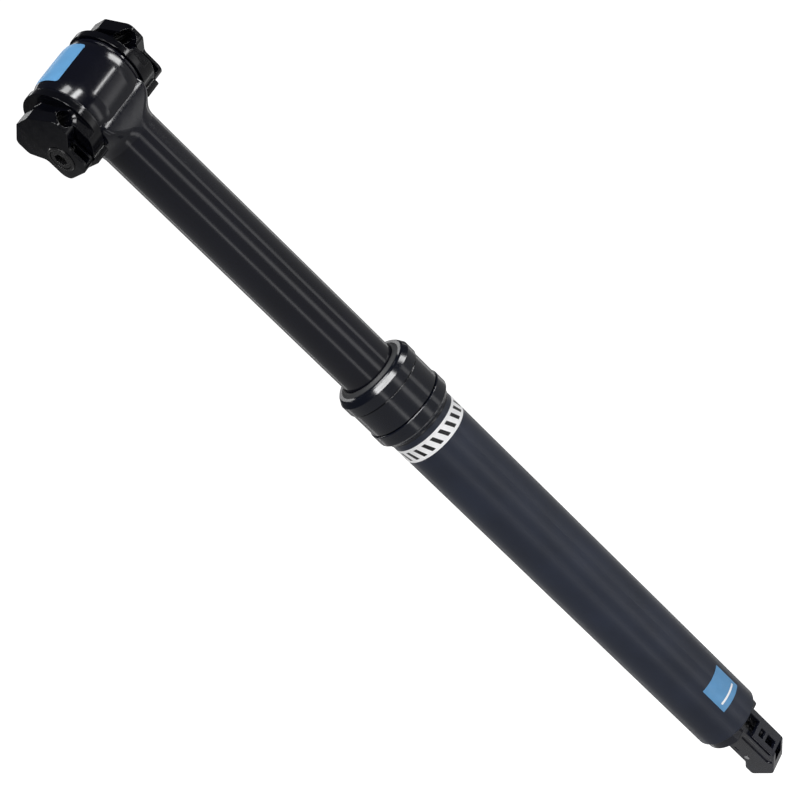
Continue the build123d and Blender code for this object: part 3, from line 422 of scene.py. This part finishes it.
def slot_finishes():
    """The finish of every material slot in the record."""
    colours = finish_settings()
    # Scale of a noise along X, Y and Z, where a small number draws it out: into lines up
    # the post, lines along the bolt, and rings round the post
    along_z, along_y, rings = (1, 1, 0.02), (1, 0.04, 1), (0.05, 0.05, 1)
    return {
        "tube_finish": anodised(
            "tube_satin", colours.tube_colour, roughness=0.38, specular=0.45,
            along=along_z),
        "stanchion_finish": anodised(
            "stanchion_gloss", colours.stanchion_colour, roughness=0.17, specular=0.5,
            along=along_z, edge=0.2 * MM),
        "collar_finish": anodised(
            "collar_black", colours.collar_colour, roughness=0.18, specular=0.55,
            along=rings, edge=0.35 * MM),
        "clamp_finish": cast(
            "clamp_gloss", colours.clamp_colour, roughness=0.16, specular=0.32,
            edge=0.4 * MM),
        "housing_finish": cast(
            "housing_satin", colours.housing_colour, roughness=0.2, specular=0.55,
            edge=0.35 * MM, grain=0.1),
        "bolt_finish": anodised(
            "bolt_black_oxide", (0.006, 0.006, 0.007), roughness=0.28, specular=0.5,
            along=along_y, edge=0.15 * MM),
        "seal_rubber": rubber("seal_rubber", (0.030, 0.031, 0.034), roughness=0.55),
        "bumper_rubber": rubber("bumper_rubber", (0.02, 0.02, 0.022), roughness=0.7),
        "foam": foam("oiled_foam", (0.22, 0.21, 0.17)),
        "bushing_polymer": moulded(
            "bushing_polymer", (0.15, 0.14, 0.11), roughness=0.45),
        "key_brass": turned(
            "key_brass", (0.70, 0.50, 0.20), roughness=0.3, along=(1, 1, 0.1)),
        "steel": turned(
            "bright_steel", (0.56, 0.56, 0.57), roughness=0.22, along=rings),
        "aluminium": turned(
            "plain_aluminium", (0.62, 0.62, 0.63), roughness=0.32, along=rings),
    }


class SEATPOST_OT_finishes(bpy.types.Operator):
    """Give every piece of the frame its finish"""

    bl_idname = "seatpost.finishes"
    bl_label = "Finishes"

    def execute(self, context):
        finishes = slot_finishes()
        for part in frame["record"]["subparts"]:
            mesh = frame["nodes"][part["node"]].data
            mesh.materials.clear()
            mesh.materials.append(finishes[part["material_slot"]])
        return {"FINISHED"}


# Pieces

MERGE_DISTANCE = 0.0005 * MM
CUT_MARGIN = 1e-9
SHARP_ANGLE = math.radians(35)
BAND_STEPS = 128
CORNER_SEGMENTS = 6


def finish_piece(shape, name, material, body):
    """Turn a bmesh into an object at the origin that rides on a body."""
    bmesh.ops.remove_doubles(shape, verts=shape.verts, dist=MERGE_DISTANCE)
    bmesh.ops.recalc_face_normals(shape, faces=shape.faces)
    mesh = bpy.data.meshes.new(name)
    shape.to_mesh(mesh)
    shape.free()
    mesh.materials.append(material)
    piece = bpy.data.objects.new(name, mesh)
    bpy.context.scene.collection.objects.link(piece)
    for face in mesh.polygons:
        face.use_smooth = True
    mesh.set_sharp_from_angle(angle=SHARP_ANGLE)
    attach(piece, body)


def outline(points):
    """A bmesh with one face, and that face."""
    shape = bmesh.new()
    face = shape.faces.new([shape.verts.new(point) for point in points])
    return shape, face


def spun_ring(points, steps):
    """An outline carried once round the post's axis, into a closed ring."""
    shape, face = outline(points)
    bmesh.ops.spin(
        shape, geom=list(face.edges), cent=(0, 0, 0), axis=UP, dvec=(0, 0, 0),
        angle=FULL_TURN, steps=steps, use_merge=True)
    bmesh.ops.delete(shape, geom=[face], context="FACES_ONLY")
    return shape


def spun_helix(points, centre, axis, turns, steps, pitch):
    """An outline carried round and along an axis, with an end face at each end."""
    shape, face = outline(points)
    bmesh.ops.spin(
        shape, geom=[face, *face.edges, *face.verts], cent=centre, axis=axis,
        dvec=axis * (pitch / steps), angle=FULL_TURN * turns, steps=turns * steps,
        use_merge=False)
    return shape


def flat_label(width, height, corner, cuts_across, cuts_along):
    """A flat label round the origin with rounded corners, cut into strips that can bend."""
    shape = bmesh.new()
    bmesh.ops.create_grid(shape, x_segments=1, y_segments=1, size=0.5)
    bmesh.ops.scale(shape, verts=shape.verts, vec=(width, height, 1))
    bmesh.ops.bevel(
        shape, geom=list(shape.verts), offset=corner, offset_type="OFFSET",
        segments=CORNER_SEGMENTS, profile=0.5, affect="VERTICES", material=-1)
    ways = (
        (cuts_across, width, Vector((1, 0, 0))),
        (cuts_along, height, Vector((0, 1, 0))),
    )
    for count, span, way in ways:
        for i in range(1, count):
            place = way * span * (i / count - 0.5)
            geometry = [*shape.verts, *shape.edges, *shape.faces]
            bmesh.ops.bisect_plane(
                shape, geom=geometry, plane_co=place, plane_no=way, dist=CUT_MARGIN)
    return shape


def thicken(shape, film):
    """Give a bent label the thickness of its film."""
    bmesh.ops.recalc_face_normals(shape, faces=list(shape.faces))
    bmesh.ops.solidify(
        shape, geom=[*shape.verts, *shape.edges, *shape.faces], thickness=film)


class SEATPOST_OT_tube_band(bpy.types.Operator):
    """Print the white band on the tube, under the collar"""

    bl_idname = "seatpost.tube_band"
    bl_label = "Tube Band"

    def execute(self, context):
        trim, colours = trim_settings(), finish_settings()
        inner, outer = tube_radius - trim.film, tube_radius + trim.film
        high = -trim.band_drop
        low = high - trim.band_height
        points = [(inner, 0, low), (outer, 0, low), (outer, 0, high), (inner, 0, high)]
        shape = spun_ring(points, BAND_STEPS)
        dashes = dashed_band("band_print", colours.band_colour, colours.dash_colour, trim)
        finish_piece(shape, "tube_band", dashes, "outer_tube")
        return {"FINISHED"}


# The rule's width, height and drop below the middle, as shares of the tube label's side,
# and how many films each print stands off the tube, so that the rule clears the label
RULE_WIDTH = 0.76
RULE_HEIGHT = 0.07
RULE_DROP = 0.27
LABEL_LIFT = 1
RULE_LIFT = 3
TUBE_LABEL_CUTS = (24, 2)


class SEATPOST_OT_tube_label(bpy.types.Operator):
    """Print the plain blue label low on the tube's front, with a white rule on it"""

    bl_idname = "seatpost.tube_label"
    bl_label = "Tube Label"

    def execute(self, context):
        trim, colours = trim_settings(), finish_settings()
        side = trim.label_side
        middle = tube_low.z + trim.label_rise + side / 2
        rule = side * RULE_HEIGHT
        corner = rule / 3
        blue = printed("label_blue", colours.label_colour)
        white = printed("label_white", colours.band_colour)
        prints = (
            ("tube_label", side, side, 0, LABEL_LIFT, blue),
            ("tube_label_rule", side * RULE_WIDTH, rule, -RULE_DROP * side, RULE_LIFT, white),
        )
        for name, width, height, shift, lift, ink in prints:
            shape = flat_label(width, height, corner, *TUBE_LABEL_CUTS)
            radius = tube_radius + lift * trim.film
            for vert in shape.verts:
                angle = vert.co.x / radius
                vert.co = (
                    radius * math.cos(angle), radius * math.sin(angle),
                    middle + shift + vert.co.y)
            thicken(shape, trim.film)
            finish_piece(shape, name, ink, "outer_tube")
        return {"FINISHED"}


BARREL_LABEL_CUTS = (28, 28)


class SEATPOST_OT_barrel_label(bpy.types.Operator):
    """Print the plain blue label on top of the barrel"""

    bl_idname = "seatpost.barrel_label"
    bl_label = "Barrel Label"

    def execute(self, context):
        trim, colours = trim_settings(), finish_settings()
        width = trim.patch_angle * barrel_radius
        shape = flat_label(width, trim.patch_length, trim.patch_corner, *BARREL_LABEL_CUTS)
        for vert in shape.verts:
            along = vert.co.y
            past = max(abs(along) - trim.crown_start, 0)
            fall = trim.crown_bend - math.sqrt(trim.crown_bend ** 2 - past ** 2)
            radius = barrel_radius - fall + trim.film
            angle = vert.co.x / barrel_radius
            vert.co = barrel_centre + Vector(
                (radius * math.sin(angle), along, radius * math.cos(angle)))
        thicken(shape, trim.film)
        blue = printed("barrel_blue", colours.label_colour)
        finish_piece(shape, "barrel_label", blue, "stanchion")
        return {"FINISHED"}


# Where the thread's flanks reach its crest and return to the shank, in pitches
CREST_START = 0.4
CREST_END = 0.55
FLANK_END = 0.95


class SEATPOST_OT_bolt_thread(bpy.types.Operator):
    """Add the bolt's thread, which shows in the windows of the two outer plates"""

    bl_idname = "seatpost.bolt_thread"
    bl_label = "Bolt Thread"

    def execute(self, context):
        trim = trim_settings()
        pitch, root = trim.thread_pitch, trim.shank_radius - trim.film
        crest = trim.shank_radius + trim.thread_depth
        start = near_plate_face + trim.thread_inset
        turns = int(-2 * start / pitch)
        axis_point = Vector((bolt_centre.x, 0, bolt_centre.z))
        section = (
            (root, 0), (crest, CREST_START), (crest, CREST_END), (root, FLANK_END))
        points = [
            axis_point + Vector((radius, start + share * pitch, 0))
            for radius, share in section
        ]
        shape = spun_helix(points, axis_point, ACROSS, turns, trim.thread_steps, pitch)
        steel = turned("thread_steel", (0.5, 0.5, 0.51), roughness=0.25, along=(1, 0.2, 1))
        finish_piece(shape, "bolt_thread", steel, "near_plate")
        return {"FINISHED"}


# Studio

CLIP_START = 0.05
# Where the floor's glow ends, as a multiple of where it starts to fade
GLOW_END = 1.2
FLOOR_PAINT = (0.9, 0.9, 0.9, 1)
WHITE = (1, 1, 1, 1)

# The lamps' turn is measured round the post from the camera, towards its right, and their
# elevation from the horizon, both in degrees. A glint lamp shows in reflections only.
Lamp = namedtuple(
    "Lamp", "name aim turn elevation distance width height brightness glint",
    defaults=(False,))

STRIP_ELEVATION = -26.3
STRIP_DISTANCE = 0.893
STRIP_HEIGHT = 0.84
COLLAR_HEIGHT = 0.03


def studio_lamps(settings):
    """Low upright strips for the lines along the post, and lamps for the rest."""
    middle, collar = UP * settings.target_height, UP * COLLAR_HEIGHT
    strips = (
        ("strip_right", 67, 0.12, 1.25),
        ("strip_front", 29, 0.17, 1.45),
        ("strip_left", -20, 0.11, 1.65),
        ("edge_left", -140, 0.08, 1.20),
        ("edge_right", 145, 0.08, 1.20),
    )
    low = [
        Lamp(name, middle, turn, STRIP_ELEVATION, STRIP_DISTANCE, width, STRIP_HEIGHT, level)
        for name, turn, width, level in strips
    ]
    return low + [
        Lamp("top_key", middle, 2, 64, 1.4, 0.90, 0.36, 12.0),
        Lamp("back_lamp", middle, 180, 23.5, 1.3, 0.50, 0.19, 2.0),
        Lamp("rim_left", barrel_centre, -138, 29, 1.2, 0.35, 0.20, 7.0),
        Lamp("barrel_line", barrel_centre, 59.5, -1.0, 1.2, 0.26, 0.08, 20.0, glint=True),
        Lamp("crown_light", barrel_centre, 88, 6, 1.2, 0.42, 0.56, 13.0, glint=True),
        Lamp("collar_glint", collar, 5.6, 41.4, 1.0, 1.15, 0.20, 20.0, glint=True),
    ]


def outward(azimuth, elevation):
    """The direction at an angle round the post and an angle above the horizon."""
    level = Vector((math.sin(azimuth), -math.cos(azimuth), 0))
    return level * math.cos(elevation) + UP * math.sin(elevation)


def add_object(name, data):
    """A new object with its data, in the scene."""
    made = bpy.data.objects.new(name, data)
    bpy.context.scene.collection.objects.link(made)
    return made


def add_camera(settings):
    """The camera, leaning about its line of sight as in the photograph."""
    azimuth, lean = settings.azimuth, settings.lean
    back = outward(azimuth, settings.elevation)
    side = Vector((math.cos(azimuth), math.sin(azimuth), 0))
    rise = back.cross(side)
    right = side * math.cos(lean) - rise * math.sin(lean)
    up = side * math.sin(lean) + rise * math.cos(lean)
    data = bpy.data.cameras.new("camera")
    data.lens = settings.lens
    data.clip_start = CLIP_START
    camera = add_object("camera", data)
    place = UP * settings.target_height + back * settings.distance
    facing = Matrix((right, up, back)).transposed().to_4x4()
    camera.matrix_world = Matrix.Translation(place) @ facing
    bpy.context.scene.camera = camera


def add_floor(settings):
    """The floor, below the post and clear of it."""
    mesh = bpy.data.meshes.new("floor")
    shape = bmesh.new()
    bmesh.ops.create_grid(shape, x_segments=1, y_segments=1, size=settings.floor_size / 2)
    drop = UP * (housing_bottom - settings.floor_drop)
    bmesh.ops.translate(shape, verts=shape.verts, vec=drop)
    shape.to_mesh(mesh)
    shape.free()
    mesh.materials.append(white_floor(settings))
    add_object("floor", mesh)


def add_lamp(settings, lamp):
    """One rectangular lamp; its brightness is that of its face, whatever its size."""
    azimuth = settings.azimuth + math.radians(lamp.turn)
    way = outward(azimuth, math.radians(lamp.elevation))
    data = bpy.data.lights.new(lamp.name, "AREA")
    data.shape = "RECTANGLE"
    data.size, data.size_y = lamp.width, lamp.height
    data.energy = lamp.brightness * math.pi * lamp.width * lamp.height
    light = add_object(lamp.name, data)
    facing = (-way).to_track_quat("-Z", "Y").to_matrix().to_4x4()
    light.matrix_world = Matrix.Translation(lamp.aim + way * lamp.distance) @ facing
    light.visible_camera = False
    light.visible_diffuse = not lamp.glint


def ray_kinds(nodes, links):
    """Sockets that are 1 for what the camera sees, and for what shows in gloss or glass."""
    path = nodes.new("ShaderNodeLightPath")
    mirrored = nodes.new("ShaderNodeMath")
    mirrored.operation = "MAXIMUM"
    links.new(path.outputs["Is Glossy Ray"], mirrored.inputs[0])
    links.new(path.outputs["Is Transmission Ray"], mirrored.inputs[1])
    return path.outputs["Is Camera Ray"], mirrored.outputs[0]


def switched(nodes, links, switch, off, on):
    """A number that depends on a socket that is 0 or 1."""
    mix = nodes.new("ShaderNodeMix")
    links.new(switch, mix.inputs["Factor"])
    feed(links, mix.inputs["A"], off)
    feed(links, mix.inputs["B"], on)
    return mix.outputs["Result"]


def light_world(settings):
    """White to the camera, a dim room in reflections, and plain light on the object."""
    world = bpy.data.worlds.new("studio")
    bpy.context.scene.world = world
    world.use_nodes = True
    nodes, links = world.node_tree.nodes, world.node_tree.links
    nodes.clear()
    camera, mirrored = ray_kinds(nodes, links)
    unseen = switched(nodes, links, mirrored, settings.room_light, settings.room_glow)
    sky = nodes.new("ShaderNodeBackground")
    sky.inputs["Color"].default_value = WHITE
    links.new(switched(nodes, links, camera, unseen, 1.0), sky.inputs["Strength"])
    output = nodes.new("ShaderNodeOutputWorld")
    links.new(sky.outputs[0], output.inputs["Surface"])


def white_floor(settings):
    """White floor that keeps the shadow, and shows in reflections as a pool of grey light."""
    material = bpy.data.materials.new("white_floor")
    material.use_nodes = True
    nodes, links = material.node_tree.nodes, material.node_tree.links
    nodes.clear()
    camera, mirrored = ray_kinds(nodes, links)

    def glow(strength):
        light = nodes.new("ShaderNodeEmission")
        light.inputs["Color"].default_value = WHITE
        links.new(strength, light.inputs["Strength"])
        return light.outputs[0]

    paint = nodes.new("ShaderNodeBsdfDiffuse")
    paint.inputs["Color"].default_value = FLOOR_PAINT
    lit = nodes.new("ShaderNodeAddShader")
    links.new(paint.outputs[0], lit.inputs[0])
    shine = switched(nodes, links, camera, 0.0, settings.floor_shine)
    links.new(glow(shine), lit.inputs[1])

    place = nodes.new("ShaderNodeTexCoord")
    reach = nodes.new("ShaderNodeVectorMath")
    reach.operation = "LENGTH"
    links.new(place.outputs["Object"], reach.inputs[0])
    fade = nodes.new("ShaderNodeMapRange")
    fade.interpolation_type = "SMOOTHSTEP"
    fade.inputs["From Min"].default_value = settings.glow_reach
    fade.inputs["From Max"].default_value = settings.glow_reach * GLOW_END
    fade.inputs["To Min"].default_value = settings.floor_glow
    fade.inputs["To Max"].default_value = settings.room_glow
    links.new(reach.outputs["Value"], fade.inputs["Value"])

    choose = nodes.new("ShaderNodeMixShader")
    links.new(mirrored, choose.inputs["Fac"])
    links.new(lit.outputs[0], choose.inputs[1])
    links.new(glow(fade.outputs["Result"]), choose.inputs[2])
    output = nodes.new("ShaderNodeOutputMaterial")
    links.new(choose.outputs[0], output.inputs["Surface"])
    return material


class SEATPOST_OT_stage(bpy.types.Operator):
    """Add the camera, the floor, the lamps and the world"""

    bl_idname = "seatpost.stage"
    bl_label = "Stage"

    def execute(self, context):
        settings = stage_settings()
        add_camera(settings)
        context.scene.view_settings.view_transform = "Standard"
        add_floor(settings)
        light_world(settings)
        for lamp in studio_lamps(settings):
            add_lamp(settings, lamp)
        return {"FINISHED"}


class SEATPOST_PT_panel(bpy.types.Panel):
    """Dresses the seatpost, one group of pieces at a time"""

    bl_label = "Dropper Seatpost"
    bl_space_type = "VIEW_3D"
    bl_region_type = "UI"
    bl_category = "Seatpost"

    def draw(self, context):
        for operator in OPERATORS:
            self.layout.operator(operator.bl_idname)


OPERATORS = (
    SEATPOST_OT_stage, SEATPOST_OT_finishes, SEATPOST_OT_tube_band, SEATPOST_OT_tube_label,
    SEATPOST_OT_barrel_label, SEATPOST_OT_bolt_thread,
)
SETTINGS = (SeatpostStageSettings, SeatpostFinishSettings, SeatpostTrimSettings)
CLASSES = (*SETTINGS, *OPERATORS, SEATPOST_PT_panel)


def register():
    for cls in CLASSES:
        bpy.utils.register_class(cls)
    bpy.types.Scene.seatpost_stage = PointerProperty(type=SeatpostStageSettings)
    bpy.types.Scene.seatpost_finish = PointerProperty(type=SeatpostFinishSettings)
    bpy.types.Scene.seatpost_trim = PointerProperty(type=SeatpostTrimSettings)


def unregister():
    del bpy.types.Scene.seatpost_trim
    del bpy.types.Scene.seatpost_finish
    del bpy.types.Scene.seatpost_stage
    for cls in reversed(CLASSES):
        bpy.utils.unregister_class(cls)


def main():
    register()
    bpy.ops.seatpost.stage()
    bpy.ops.seatpost.finishes()
    bpy.ops.seatpost.tube_band()
    bpy.ops.seatpost.tube_label()
    bpy.ops.seatpost.barrel_label()
    bpy.ops.seatpost.bolt_thread()


if __name__ == "__main__":
    main()
